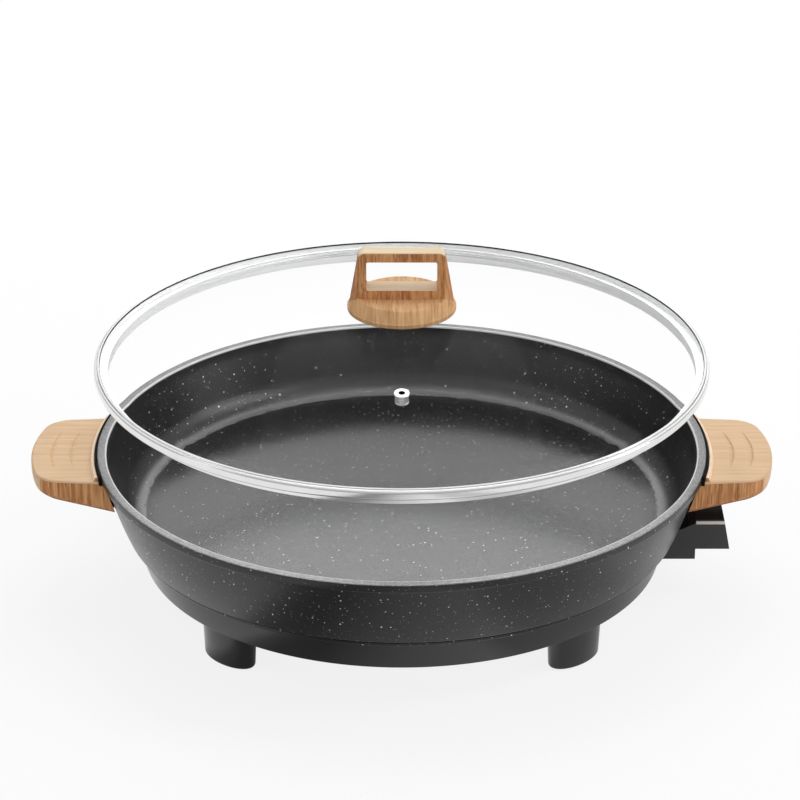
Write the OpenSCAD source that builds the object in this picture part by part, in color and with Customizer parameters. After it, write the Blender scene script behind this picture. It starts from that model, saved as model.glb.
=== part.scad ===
// Electric cooking pan: a shallow cast pan on a round base with oblong feet,
// two grips, a side inlet for a plug-in heat control, and a loose glass lid.
// Millimetres, +Z up, origin on the table under the middle of the pan.
// +X points along the grips to the inlet side. The lid is drawn lifted off its seat.

/* [Pan] */
// Outer diameter of the rim
rim_d = 320; // [280:1:360]
// Width of the flat ring on top of the rim
rim_w = 4.8; // [4:0.1:7]
// Height of the lip under the rim's flat
lip_h = 4.5; // [3:0.1:7]
// How far the lip stands proud of the wall below it
lip_proud = 2.7; // [1.5:0.1:3.5]
// Height of the pan from its underside to the rim
pan_h = 39.7; // [34:0.1:70]
// How far the wall draws in on its way down
wall_lean = 11; // [6:0.1:16]
// Outward bow of the wall at half height
wall_bow = 0.8; // [0.2:0.1:2]
// Thickness of the wall
wall_t = 2.8; // [2.2:0.1:4]
// Thickness of the floor
floor_t = 5; // [4:0.1:8]
// Radius between floor and wall inside the bowl
bowl_r = 13.5; // [6:0.1:18]
// Radius of the outer bottom edge
pan_edge_r = 3; // [1:0.1:5]

/* [Base] */
// Inset of the base ring's top edge from the pan's bottom corner
base_inset = 6.8; // [4:0.1:14]
// Height of the base ring, from its bottom to the pan's underside
base_h = 18.6; // [16:0.1:30]
// How far the base ring narrows towards its bottom
base_draft = 2.1; // [0.5:0.1:5]
// Thickness of the base ring's wall and floor
base_t = 3; // [2:0.1:4]
// Height of the shadow gap between pan and base ring
reveal = 1.2; // [0.6:0.1:2]
// Radius of the base ring's bottom edge
base_edge_r = 1.8; // [0.8:0.1:2.5]
// Width of the floor flange inside the base ring
flange_w = 32; // [26:0.5:40]
// Thickness of the sheet of the reflector plate
sheet_t = 0.8; // [0.5:0.1:1.5]
// Height of the pressed rings in the reflector plate
bead_rise = 2; // [1:0.1:3]

/* [Feet] */
// Height of the base ring above the table
stand_h = 22.2; // [14:0.1:35]
// Length of a foot along the base's edge
foot_len = 33; // [26:0.5:40]
// Width of a foot across the base's edge
foot_wid = 17.8; // [15:0.1:20]
// Distance from the base's bottom edge in to the middle of a foot
foot_inset = 13.2; // [11:0.1:17]
// How much wider a foot is at its top, on each side
foot_draft = 0.9; // [0.2:0.1:1.5]
// Radius of a foot's bottom edge
foot_edge_r = 1.6; // [0.8:0.1:3]
// Thickness of a rubber pad
pad_t = 2.4; // [1.5:0.1:4]
// How far a pad stands out of its foot
pad_proud = 0.4; // [0.3:0.1:1.2]
// Width of the foot's edge left round a pad
pad_margin = 2.6; // [2.2:0.1:3.5]

/* [Grips] */
// How far a grip reaches out past the rim
grip_reach = 35; // [28:0.5:50]
// Width of a grip at its root
grip_root_w = 79; // [60:0.5:90]
// Width of a grip near its end
grip_end_w = 72; // [50:0.5:84]
// Depth of a grip at its root
grip_root_t = 19; // [15:0.1:22]
// Depth of a grip at its end
grip_end_t = 9; // [6.5:0.1:12]
// Drop of a grip's top below the rim
grip_drop = 4; // [2:0.1:6]
// Corner radius at a grip's end
grip_corner_r = 8; // [6:0.1:12]
// Radius of the bowed end of a grip
grip_bow_r = 90; // [60:1:200]
// Gap between a grip and the pan
grip_gap = 1.6; // [1.2:0.1:3]
// Distance from the rim to the first groove
groove_start = 14.6; // [12:0.1:18]
// Distance between the grooves
groove_pitch = 10.2; // [7:0.1:12]
// Radius of a groove's sweep
groove_sweep_r = 65; // [50:1:90]
// Length of a groove
groove_len = 43; // [30:0.5:48]
// Width of a groove
groove_w = 3.6; // [2:0.1:5]
// Depth of a groove
groove_depth = 0.9; // [0.4:0.1:1.2]
// Width of the cast lug inside a grip
lug_w = 28; // [22:0.5:34]
// Thickness of the cast lug
lug_t = 5; // [4:0.1:6]
// Distance between the two screws of a grip
grip_screw_pitch = 16; // [12:0.5:20]

/* [Inlet] */
// Width of the inlet
inlet_w = 41; // [38:0.5:50]
// How far the inlet's neck stands out of the base ring
neck_len = 17.6; // [14:0.1:24]
// Length of the shroud past the neck
shroud_len = 18; // [14:0.1:26]
// Height of the shroud
shroud_h = 16.3; // [15:0.1:20]
// Rise of the shroud's middle above the contact pins
shroud_rise = 2; // [0:0.1:2.6]
// How far the shroud's mouth leans out towards its bottom
mouth_lean = 3.1; // [0:0.1:5]
// Thickness of the inlet's walls
inlet_t = 2.4; // [1.6:0.1:3]
// Bevel along the shroud's top edges
shroud_bevel = 1.8; // [0.5:0.1:2.2]
// Diameter of a contact pin
pin_d = 5; // [4:0.1:6]
// Distance between the contact pins
pin_pitch = 24; // [22:0.5:26]
// Free length of a contact pin
pin_len = 13; // [10:0.1:16]
// Inner diameter of the probe sleeve
probe_d = 6.6; // [5:0.1:7]
// Wall of the probe sleeve
sleeve_t = 0.8; // [0.6:0.1:1]
// Depth of the probe sleeve, from the mouth to its closed end
probe_depth = 58; // [48:0.5:70]

/* [Heater] */
// Diameter of the heater tube
heater_d = 8; // [6:0.1:8.4]
// Radius of the heater ring
heater_ring_r = 88; // [70:0.5:95]
// Depth of the heater's middle below the pan's underside
heater_drop = 6.5; // [6:0.1:7]
// Bend radius where the heater turns out to the inlet
heater_bend_r = 14; // [11:0.5:18]
// Width of the cast rib that holds the heater
rib_w = 16; // [13:0.5:20]

/* [Lid] */
// Height of the lid above its seat, as drawn
lid_lift = 45.3; // [2:0.1:120]
// Inset of the steel bead from the rim's outer edge
bead_inset = 0.2; // [0:0.1:4]
// Height of the steel bead
bead_h = 5.6; // [5.4:0.1:8]
// Clearance of the hanging flange inside the pan's mouth
lid_clear = 1.7; // [1:0.1:3]
// Height of the hanging flange
skirt_h = 4.5; // [3:0.1:8]
// Thickness of the lid's steel
ring_t = 0.7; // [0.5:0.1:0.8]
// Width of the steel lip over the glass
lip_cover = 3.2; // [2.4:0.1:5]
// Thickness of the glass
glass_t = 4; // [3:0.1:4]
// Rise of the glass dome
dome_rise = 25.4; // [16:0.1:45]
// Distance of the steam vent from the lid's middle
vent_offset = 86; // [50:0.5:110]
// Outer diameter of the steam vent's barrel
vent_d = 7.1; // [6:0.1:9]
// Diameter of the steam hole
steam_d = 3.1; // [2:0.1:4]

/* [Knob] */
// Diameter of the knob's round foot
knob_d = 56.4; // [50:0.1:66]
// Height of the straight band round the foot
knob_band_h = 2.7; // [2:0.1:4]
// Height of the knob's foot
knob_foot_h = 8.2; // [6:0.1:9]
// Width of the sloping shoulder between the band and the foot's flat top
knob_shoulder = 4.6; // [3:0.1:8]
// Thickness of the gasket under the middle of the knob
gasket_t = 1.6; // [1:0.1:4]
// Diameter of the gasket
gasket_d = 34; // [24:0.5:46]
// Height of the knob
knob_h = 32.5; // [28:0.1:45]
// Width of the bridge's front at the foot
bridge_foot_w = 46.2; // [40:0.1:50]
// Width of the bridge at its top
bridge_top_w = 44.4; // [38:0.1:50]
// How far the bridge's flanks flare out over the foot's band
bridge_flare = 4.2; // [0:0.1:5]
// Thickness of the bridge at its foot
bridge_foot_t = 14.8; // [10:0.1:18]
// Thickness of the bridge at its top
bridge_t = 8.6; // [7:0.1:12]
// Width of the finger window
window_w = 36.6; // [30:0.1:38]
// Height of the finger window
window_h = 15; // [12:0.1:18]
// Depth of the bar over the window
bar_h = 5.1; // [4:0.1:9]
// Corner radius at the bridge's top
bridge_r = 3; // [2:0.1:6]
// Radius of the bridge's upper edges
bridge_edge_r = 1.2; // [0.5:0.1:3]
// Corner radius of the finger window
window_r = 0.8; // [0.5:0.1:4]

/* [Screws] */
// Diameter of the screws in the feet and the knob
screw_d = 4; // [3:0.1:4.2]
// Diameter of the screws in the grips and the inlet
small_screw_d = 3.5; // [2.5:0.1:3.6]
// Head height of a screw
head_h = 2.4; // [1.8:0.1:2.6]

/* [Hidden] */

$fn = 96;
// Steps round the wide circle of the dome
dome_steps = 1440;
// Play round pieces that sit in or on one another
fit = 0.15;
// Overlap that joins two shapes of one casting
weld = 1;
// Far enough to cut right through
through = 400;

// Heights above the table
base_z = stand_h;
pan_z = base_z + base_h;
floor_z = pan_z + floor_t;
rim_z = pan_z + pan_h;
seat_z = rim_z + lid_lift;

// Radii of the pan
rim_r = rim_d / 2;
mouth_r = rim_r - rim_w;
wall_top_r = rim_r - lip_proud;
wall_top_z = rim_z - lip_h;
corner_r = wall_top_r - wall_lean;
wall_angle = atan(wall_lean / (pan_h - lip_h));
rim_edge_r = 0.7;

// Radii of the base
base_top_r = corner_r - base_inset;
base_r = base_top_r - base_draft;
flange_r = base_r - flange_w;
foot_r = base_r - foot_inset;
foot_angles = [45, 135, 225, 315];
plate_z = base_z + base_t;
plate_clear = 3;
plate_r = base_r - base_t - plate_clear;
boss_r = 6;
boss_z = plate_z + sheet_t;

// Screws: shank, head and the holes round them
screw_r = screw_d / 2;
small_screw_r = small_screw_d / 2;
head_r = screw_d * 0.95;
small_head_r = small_screw_d * 0.95;
head_room = 3;
foot_head_z = pad_t + head_h + head_room;

// Heater and inlet, all on one level
heater_z = pan_z - heater_drop;
heater_r = heater_d / 2;
rib_z = heater_z - heater_r;
pin_y = pin_pitch / 2;
bend_y = pin_y + heater_bend_r;
bend_x = sqrt(pow(heater_ring_r + heater_bend_r, 2) - pow(bend_y, 2));
bend_angle = atan2(bend_y, bend_x);
rib_spare = 4;
rib_gap = 2 * (bend_angle + rib_spare);
neck_x = base_r + neck_len;
mouth_x = neck_x + shroud_len;
neck_z = pan_z - reveal;
neck_step = 1;
neck_root = 12;
neck_in_x = base_r - neck_root;
shroud_z = heater_z + shroud_rise - shroud_h / 2;
shroud_top_z = shroud_z + shroud_h;
bulkhead_t = 3;
bulkhead_x = neck_x - bulkhead_t;
block_t = 9;
roof_lap = 2.5;
roof_x = corner_r - roof_lap;
block_x = roof_x - fit - block_t;
seal_len = 5.5;
heater_end_x = block_x - seal_len - fit;
collar_t = 1.5;
collar_proud = 1.1;
collar_r = pin_d / 2 + collar_proud;
pin_tip = 1;
shank_step = 0.5;
shank_r = pin_d / 2 - shank_step;
probe_r = probe_d / 2;
sleeve_r = probe_r + sleeve_t;
sleeve_x = bulkhead_x - probe_depth;
ear_w = 10;
ear_len = 10;
ear_back = 6;
ear_x = neck_in_x - ear_back;

// Grips, drawn on the +X side
grip_top = rim_z - grip_drop;
grip_tip = rim_r + grip_reach;
grip_root = 14;
grip_x = rim_r - grip_root;
grip_corner_x = grip_tip - grip_corner_r;
grip_top_r = 2;
grip_under_r = 3.4;
grip_bevel = 2;
lug_cover = 3.2;
lug_top = grip_top - lug_cover;
lug_z = lug_top - lug_t;
lug_reach = 0.4 * grip_reach;
lug_x = rim_r + lug_reach;
grip_screw_x = rim_r + grip_gap + (lug_reach - grip_gap) * 0.4;
grip_web = 2.6;
grip_head_z = lug_z - grip_web;

// Lid
bead_r = rim_r - bead_inset;
skirt_r = mouth_r - lid_clear;
glass_z = seat_z + ring_t + fit;
glass_r = bead_r - ring_t - fit;
glass_top_z = seat_z + bead_h - ring_t - fit;
dome_step = 1;
dome_edge_r = skirt_r - ring_t - dome_step;
dome_r = (pow(dome_edge_r, 2) + pow(dome_rise, 2)) / (2 * dome_rise);
apex_z = glass_top_z + dome_rise;
dome_z = apex_z - dome_r;
vent_tilt = asin(vent_offset / dome_r);
vent_r = vent_d / 2;
knob_z = apex_z + gasket_t;
knob_r = knob_d / 2;
gasket_r = gasket_d / 2;
knob_hole_r = 3;
seal_t = 1.6;
seal_z = apex_z - glass_t - seal_t;
washer_t = 1.2;
washer_r = 2.5 * head_r;
screw_bite = 2;

// Points of an arc about c, from angle a0 to a1
function arc(c, r, a0, a1, n = 6) =
  [for (i = [0 : n]) c + r * [cos(a0 + (a1 - a0) * i / n), sin(a0 + (a1 - a0) * i / n)]];

// Points from a to b with a shallow bow of height s to the right of the way there
function bowed(a, b, s, n = 10) =
  let (d = b - a, side = [d[1], -d[0]] / norm(d))
  [for (i = [0 : n]) a + d * i / n + side * 4 * s * (i / n) * (1 - i / n)];

// Outside of the pan's wall from the underside up to the lip, moved out by gap
wall_foot = [corner_r - pan_edge_r * tan(45 - wall_angle / 2), pan_z + pan_edge_r];
function pan_wall(gap) =
  let (edge = arc(wall_foot, pan_edge_r, -90, -wall_angle),
       rise = bowed(edge[len(edge) - 1], [wall_top_r, wall_top_z], wall_bow))
  [for (p = concat(edge, rise)) p + [gap, 0]];

// Outline of the room that the pan takes up beside a grip, moved out by gap
function pan_room(gap) =
  concat(
    [[0, pan_z]], [for (p = pan_wall(gap)) if (p[1] < wall_top_z - gap - weld) p],
    [[wall_top_r + gap, wall_top_z - gap], [rim_r + gap, wall_top_z - gap]],
    [[rim_r + gap, rim_z + weld], [0, rim_z + weld]]);

// Radius of the wall's outside at height z, without its bow
function wall_r(z) = corner_r + wall_lean * (z - pan_z) / (pan_h - lip_h);

// Solid skin through rings of points that lie one after another
module loft(rings) {
  n = len(rings[0]);
  m = len(rings);
  start = [for (k = [0 : 2]) let (c = [for (p = rings[0]) p[k]]) (max(c) + min(c)) / 2];
  end = [for (k = [0 : 2]) let (c = [for (p = rings[m - 1]) p[k]]) (max(c) + min(c)) / 2];
  points = concat([for (ring = rings) each ring], [start, end]);
  polyhedron(points, concat(
    [for (j = [0 : m - 2], i = [0 : n - 1])
      each [[j * n + i, (j + 1) * n + i, j * n + (i + 1) % n],
            [j * n + (i + 1) % n, (j + 1) * n + i, (j + 1) * n + (i + 1) % n]]],
    [for (i = [0 : n - 1]) [i, (i + 1) % n, m * n]],
    [for (i = [0 : n - 1]) [(m - 1) * n + (i + 1) % n, (m - 1) * n + i, m * n + 1]]));
}

// Round sheet spun from a line of points, thick upwards
module spun_sheet(line, t) {
  rotate_extrude()
    polygon(concat(line, [for (i = [len(line) - 1 : -1 : 0]) line[i] + [0, t]]));
}

// Round pan-head screw standing on its head, shank upwards
module screw(r, cap_r, len) {
  slot_w = r * 0.45;
  slot_l = cap_r * 1.2;
  difference() {
    union() {
      translate([0, 0, -head_h]) cylinder(r1 = cap_r * 0.8, r2 = cap_r, h = head_h * 0.4);
      translate([0, 0, -head_h * 0.6]) cylinder(r = cap_r, h = head_h * 0.6);
      cylinder(r = r, h = len);
    }
    for (a = [0, 90])
      rotate([0, 0, a])
        translate([-slot_l / 2, -slot_w / 2, -head_h - weld]) cube([slot_l, slot_w, head_h * 0.5 + weld]);
  }
}

// Places at the middle of each foot
module at_feet() {
  for (a = foot_angles)
    rotate([0, 0, a]) translate([foot_r, 0, 0]) children();
}

// Places at the two screws of both grips
module at_grip_screws() {
  for (side = [0, 180], y = [-1, 1])
    rotate([0, 0, side]) translate([grip_screw_x, y * grip_screw_pitch / 2, 0]) children();
}

// Bowl of the pan, spun with its lip and rim
module pan_shell() {
  inner_foot_r = corner_r + floor_t * tan(wall_angle) - wall_t;
  inner_mid = [inner_foot_r - bowl_r * tan(45 - wall_angle / 2), floor_z + bowl_r];
  rotate_extrude($fn = 180)
    polygon(concat(
      [[0, pan_z]], pan_wall(0),
      arc([rim_r - rim_edge_r, wall_top_z + rim_edge_r], rim_edge_r, -90, 0, 4),
      arc([rim_r - rim_edge_r, rim_z - rim_edge_r], rim_edge_r, 0, 90, 4),
      [[mouth_r + rim_edge_r, rim_z], [mouth_r, rim_z - rim_edge_r]],
      [[wall_top_r - wall_t, wall_top_z]],
      arc(inner_mid, bowl_r, -wall_angle, -90, 10),
      [[0, floor_z]]));
}

// Cast rib under the floor that the heater is pressed into
module heater_rib() {
  rotate([0, 0, rib_gap / 2])
    rotate_extrude(angle = 360 - rib_gap)
      translate([heater_ring_r - rib_w / 2, rib_z]) square([rib_w, pan_z - rib_z + weld]);
}

module heater_groove() {
  rotate_extrude()
    translate([heater_ring_r, heater_z]) {
      circle(r = heater_r + fit);
      translate([-heater_r - fit, -through / 8]) square([2 * (heater_r + fit), through / 8]);
    }
}

// Cast block under the floor that carries the probe sleeve
module probe_block() {
  block_wall = 2.4;
  probe_block_len = 20;
  probe_block_x = heater_ring_r + rib_w / 2 + 2;
  w = 2 * (sleeve_r + block_wall);
  translate([probe_block_x, -w / 2, heater_z - w / 2])
    cube([probe_block_len, w, pan_z + weld - heater_z + w / 2]);
}

// Cast lug that a grip slides over
module grip_lug() {
  difference() {
    translate([0, -lug_w / 2, lug_z]) cube([lug_x, lug_w, lug_t]);
    translate([0, 0, pan_z]) cylinder(r = wall_r(lug_top) - wall_t + weld / 2, h = pan_h);
  }
}

module pan_body() {
  color("#3b3b3d")
    difference() {
      union() {
        pan_shell();
        heater_rib();
        probe_block();
        at_feet() translate([0, 0, boss_z]) cylinder(r = boss_r, h = pan_z - boss_z + weld);
        grip_lug();
        mirror([1, 0, 0]) grip_lug();
      }
      heater_groove();
      at_feet() cylinder(r = screw_r + fit, h = pan_z);
      translate([0, 0, heater_z]) rotate([0, 90, 0]) cylinder(r = sleeve_r + fit, h = rim_r);
      at_grip_screws()
        translate([0, 0, lug_z - weld]) cylinder(r = small_screw_r + fit, h = lug_t + 2 * weld);
    }
}

// Middle line of the heater: in along one leg, round the ring and out along the other
function heater_half() =
  concat(
    [[heater_end_x, pin_y]],
    arc([bend_x, bend_y], heater_bend_r, 270, 180 + bend_angle, 6),
    [for (a = [bend_angle + 6 : 6 : 180]) heater_ring_r * [cos(a), sin(a)]]);
function heater_line() =
  let (half = heater_half(), n = len(half), far = [-heater_ring_r, 0])
  concat(
    [for (p = half) if (norm(p - far) > heater_r) p], [far],
    [for (i = [n - 1 : -1 : 0]) if (norm(half[i] - far) > heater_r) [half[i][0], -half[i][1]]]);

module heating_element() {
  sides = 12;
  line = heater_line();
  last = len(line) - 1;
  color("#6d6a66")
    loft([for (i = [0 : last])
      let (way = line[min(i + 1, last)] - line[max(i - 1, 0)], out = [way[1], -way[0]] / norm(way))
      [for (k = [0 : sides - 1])
        let (a = 360 * k / sides, across = out * heater_r * cos(a))
        [line[i][0] + across[0], line[i][1] + across[1], heater_z + heater_r * sin(a)]]]);
}

// Places on the two contact pins' line, with +Z turned out of the inlet
module at_pins(x) {
  for (y = [-1, 1])
    translate([x, y * pin_y, heater_z]) rotate([0, 90, 0]) children();
}

module heater_seals() {
  color("#e9e4d8")
    at_pins(heater_end_x)
      difference() {
        cylinder(r = heater_r, h = seal_len);
        translate([0, 0, -weld]) cylinder(r = shank_r + fit, h = seal_len + 2 * weld);
      }
}

module terminal_pins() {
  color("#c9ccd0") {
    at_pins(heater_end_x) cylinder(r = shank_r, h = bulkhead_x - heater_end_x + collar_t);
    at_pins(bulkhead_x) cylinder(r = collar_r, h = collar_t);
    at_pins(bulkhead_x + collar_t) {
      cylinder(r = pin_d / 2, h = pin_len);
      translate([0, 0, pin_len]) cylinder(r1 = pin_d / 2, r2 = pin_d / 2 - pin_tip, h = pin_tip);
    }
  }
}

module terminal_block() {
  w = inlet_w - 2 * inlet_t - 2 * fit;
  z0 = base_z + base_t + fit;
  z1 = neck_z - fit;
  color("#efeae0")
    difference() {
      translate([block_x, -w / 2, z0]) cube([block_t, w, z1 - z0]);
      at_pins(block_x - weld) cylinder(r = shank_r + fit, h = block_t + 2 * weld);
      translate([block_x - weld, 0, heater_z])
        rotate([0, 90, 0]) cylinder(r = sleeve_r + fit, h = block_t + 2 * weld);
    }
}

module probe_sleeve() {
  end_t = 1.5;
  color("#b9bcc0")
    translate([sleeve_x, 0, heater_z])
      rotate([0, 90, 0])
        difference() {
          translate([0, 0, -end_t]) cylinder(r = sleeve_r, h = probe_depth + end_t);
          cylinder(r = probe_r, h = probe_depth + weld);
        }
}

module base_ring() {
  seat_t = 2.5;
  seat_fall = 2;
  top_edge_r = 0.6;
  inner_top_r = base_top_r - base_t;
  top_z = pan_z - reveal;
  slope = atan(base_draft / (top_z - base_z));
  bottom_edge = [base_r - base_edge_r, base_z + base_edge_r];
  top_edge = [base_top_r - top_edge_r, top_z - top_edge_r];
  color("#2e2e30")
    difference() {
      rotate_extrude($fn = 180)
        polygon(concat(
          [[flange_r, plate_z], [flange_r, base_z]],
          arc(bottom_edge, base_edge_r, -90, -slope),
          arc(top_edge, top_edge_r, -slope, 90, 4),
          [[inner_top_r, top_z], [inner_top_r, pan_z], [inner_top_r - seat_t, pan_z]],
          [[inner_top_r - seat_t, top_z - seat_fall], [inner_top_r, top_z - 2 * seat_fall]],
          [[base_r - base_t, plate_z]]));
      at_feet() cylinder(r = screw_r + fit, h = pan_z);
      translate([neck_in_x - 2 * fit, -inlet_w / 2 - 2 * fit, 0]) cube([through, inlet_w + 4 * fit, through]);
      at_ears() cylinder(r = small_screw_r + fit, h = pan_z);
    }
}

module reflector_plate() {
  beads = [0.3, 0.55, 0.8];
  half = 5;
  slope_w = 2.5;
  room_r = flange_r;
  notch_clear = 2;
  notch_w = inlet_w + 2 * (ear_w + notch_clear);
  line = concat(
    [[0, plate_z]],
    [for (b = beads) each [
      [b * room_r - half - slope_w, plate_z], [b * room_r - half, plate_z + bead_rise],
      [b * room_r + half, plate_z + bead_rise], [b * room_r + half + slope_w, plate_z]]],
    [[plate_r, plate_z]]);
  color("#c6c8ca")
    difference() {
      spun_sheet(line, sheet_t);
      at_feet() cylinder(r = screw_r + fit, h = pan_z);
      translate([ear_x - notch_clear, -notch_w / 2, 0]) cube([through, notch_w, through]);
    }
}

// Ring of points round an oval of half-lengths a and b
function oval(a, b, n = 40) = [for (i = [0 : n - 1]) [b * cos(360 * i / n), a * sin(360 * i / n)]];

module foot(angle) {
  bottom = pad_proud;
  round_steps = [0, 30, 60, 90];
  rings = concat(
    [for (t = round_steps)
      [foot_edge_r * (1 - sin(t)), bottom + foot_edge_r * (1 - cos(t))]],
    [[-foot_draft, base_z]]);
  color("#1d1d1f")
    rotate([0, 0, angle])
      translate([foot_r, 0, 0])
        difference() {
          loft([for (ring = rings)
            [for (p = oval(foot_len / 2 - ring[0], foot_wid / 2 - ring[0])) [p[0], p[1], ring[1]]]]);
          linear_extrude(pad_t)
            polygon(oval(foot_len / 2 - pad_margin, foot_wid / 2 - pad_margin));
          cylinder(r = head_r + 2 * fit, h = foot_head_z);
          cylinder(r = screw_r + fit, h = pan_z);
        }
}

module foot_pad(angle) {
  inset = pad_margin + fit;
  color("#2a2a2b")
    rotate([0, 0, angle])
      translate([foot_r, 0, 0])
        linear_extrude(pad_t) polygon(oval(foot_len / 2 - inset, foot_wid / 2 - inset));
}

module foot_screws() {
  color("#b5b8bc")
    at_feet()
      translate([0, 0, foot_head_z]) screw(screw_r, head_r, pan_z - screw_bite - foot_head_z);
}

// One cross ring of a grip at distance x, drawn in by inset
function grip_ring(x, inset) =
  let (run = (x - grip_x) / (grip_tip - grip_x),
       over = max(0, x - grip_corner_x) / grip_corner_r,
       taper = min(1, (x - grip_x) / (grip_corner_x - grip_x)),
       side = (grip_root_w + (grip_end_w - grip_root_w) * taper) / 2,
       half = side - grip_corner_r * (1 - sqrt(max(0, 1 - over * over))) - inset,
       depth = grip_root_t + (grip_end_t - grip_root_t) * run,
       nose = 1 - sqrt(max(0, 1 - over * over)),
       top = grip_top - grip_top_r * nose - inset,
       under = grip_top - depth + 0.5 * grip_end_t * nose + inset,
       r1 = min(grip_top_r, 0.45 * (top - under)),
       r2 = min(grip_under_r, 0.45 * (top - under)),
       span = [for (k = [1 : 7]) 1 - k / 4],
       outline = concat(
         arc([half - r1, top - r1], r1, 0, 90, 4), [for (k = span) [k * (half - r1), top]],
         arc([-half + r1, top - r1], r1, 90, 180, 4),
         arc([-half + r2, under + r2], r2, 180, 270, 4), [for (k = span) [-k * (half - r2), under]],
         arc([half - r2, under + r2], r2, 270, 360, 4)))
  [for (p = outline) [x - p[0] * p[0] / (2 * grip_bow_r), p[0], p[1]]];

module grip_body(inset) {
  turns = [0, 15, 30, 45, 60, 75, 90];
  loft([for (x = concat([grip_x, (grip_x + grip_corner_x) / 2],
                        [for (a = turns) grip_corner_x + grip_corner_r * sin(a)]))
    grip_ring(x, inset)]);
}

// Shallow curved groove across the top of a grip
module grip_groove(x) {
  sweep = 2 * asin(groove_len / 2 / groove_sweep_r);
  ball_r = (groove_w * groove_w / 4 + groove_depth * groove_depth) / (2 * groove_depth);
  translate([x - groove_sweep_r, 0, grip_top + ball_r - groove_depth])
    rotate([0, 0, -sweep / 2])
      rotate_extrude(angle = sweep) translate([groove_sweep_r, 0]) circle(r = ball_r);
}

module handle() {
  slot = 2 * fit;
  difference() {
    grip_body(0);
    rotate_extrude($fn = 180) polygon(pan_room(grip_gap));
    rotate_extrude($fn = 180)
      polygon([
        [rim_r, grip_top - grip_bevel], [rim_r + grip_gap, grip_top - grip_bevel],
        [rim_r + grip_gap + grip_bevel + weld, grip_top + weld], [rim_r, grip_top + weld]]);
    translate([0, -lug_w / 2 - slot, lug_z - slot]) cube([lug_x + slot, lug_w + 2 * slot, lug_t + 2 * slot]);
    grip_groove(rim_r + groove_start);
    grip_groove(rim_r + groove_start + groove_pitch);
    for (y = [-1, 1])
      translate([grip_screw_x, y * grip_screw_pitch / 2, 0]) {
        cylinder(r = small_head_r + 2 * fit, h = grip_head_z);
        cylinder(r = small_screw_r + fit, h = lug_z);
      }
  }
}

// Black heat guard between a grip and the pan
module handle_spacer() {
  slot = 2 * fit;
  difference() {
    intersection() {
      grip_body(0.4);
      rotate_extrude($fn = 180) polygon(pan_room(grip_gap - fit));
    }
    rotate_extrude($fn = 180) polygon(pan_room(fit));
    translate([0, -lug_w / 2 - slot, lug_z - slot]) cube([lug_x, lug_w + 2 * slot, lug_t + 2 * slot]);
  }
}

module handle_right() {
  color("#d9b58c") handle();
}

module handle_left() {
  color("#d9b58c") mirror([1, 0, 0]) handle();
}

module handle_spacer_right() {
  color("#161617") handle_spacer();
}

module handle_spacer_left() {
  color("#161617") mirror([1, 0, 0]) handle_spacer();
}

module handle_screws() {
  color("#b5b8bc")
    at_grip_screws()
      translate([0, 0, grip_head_z]) screw(small_screw_r, small_head_r, lug_top - grip_head_z);
}

// Places at the two screw ears of the inlet
module at_ears() {
  for (y = [-1, 1])
    translate([ear_x + ear_len / 2, y * (inlet_w + ear_w) / 2, 0]) children();
}

// Outline of the inlet's neck from the side, drawn in by t
function neck_side(t) =
  [[neck_in_x - t, base_z + t * base_t / inlet_t], [neck_x - t, base_z + t * base_t / inlet_t],
   [neck_x - t, shroud_top_z - neck_step - t], [corner_r + neck_step, neck_z - t],
   [neck_in_x - t, neck_z - t]];

// Outline of the shroud from the side, drawn in by t
function shroud_side(t) =
  [[neck_x - 2 * t, shroud_z + t], [mouth_x + t, shroud_z + t],
   [mouth_x - mouth_lean + t, shroud_top_z - t], [neck_x - 2 * t, shroud_top_z - t]];

// Outline of the shroud from its mouth, drawn in by t
function shroud_face(t) =
  let (half = inlet_w / 2 - t, top = shroud_top_z - t, bevel = shroud_bevel)
  [[-half, shroud_z + t], [half, shroud_z + t], [half, top - bevel], [half - bevel, top],
   [-half + bevel, top], [-half, top - bevel]];

// Side outline of a piece of the inlet, pushed across to width w
module across(points, w) {
  translate([0, w / 2, 0]) rotate([90, 0, 0]) linear_extrude(w) polygon(points);
}

module shroud(t) {
  intersection() {
    across(shroud_side(t), inlet_w - 2 * t);
    rotate([90, 0, 90]) linear_extrude(through) polygon(shroud_face(t));
  }
}

module inlet_shroud() {
  bulkhead = [[bulkhead_x - bulkhead_t, base_z + weld], [bulkhead_x, base_z + weld],
              [bulkhead_x, shroud_top_z - 2 * neck_step], [bulkhead_x - bulkhead_t, neck_z - neck_step / 2]];
  color("#242426")
    difference() {
      union() {
        difference() {
          union() {
            across(neck_side(0), inlet_w);
            shroud(0);
          }
          across(neck_side(inlet_t), inlet_w - 2 * inlet_t);
          shroud(inlet_t);
        }
        across(bulkhead, inlet_w - 2 * weld);
        translate([ear_x, -inlet_w / 2 - ear_w, plate_z]) cube([ear_len, ear_w + weld, base_t]);
        translate([ear_x, inlet_w / 2 - weld, plate_z]) cube([ear_len, ear_w + weld, base_t]);
      }
      at_ears() cylinder(r = small_screw_r + fit, h = pan_z);
      translate([0, inlet_t - inlet_w / 2, plate_z]) cube([roof_x, inlet_w - 2 * inlet_t, pan_z]);
      at_pins(0) cylinder(r = shank_r + fit, h = bulkhead_x + weld / 4);
      translate([0, 0, heater_z]) rotate([0, 90, 0]) cylinder(r = sleeve_r + fit, h = bulkhead_x + weld);
    }
}

module inlet_screws() {
  color("#b5b8bc")
    at_ears() translate([0, 0, base_z]) screw(small_screw_r, small_head_r, 3 * base_t);
}

// Half section of the domed glass between two radii, from lo to hi over its top
module dome_section(r0, r1, lo, hi) {
  intersection() {
    translate([0, dome_z])
      difference() {
        circle(r = dome_r + hi, $fn = dome_steps);
        circle(r = dome_r + lo, $fn = dome_steps);
      }
    translate([r0, glass_z - dome_rise]) square([r1 - r0, 4 * dome_rise]);
  }
}

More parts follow.
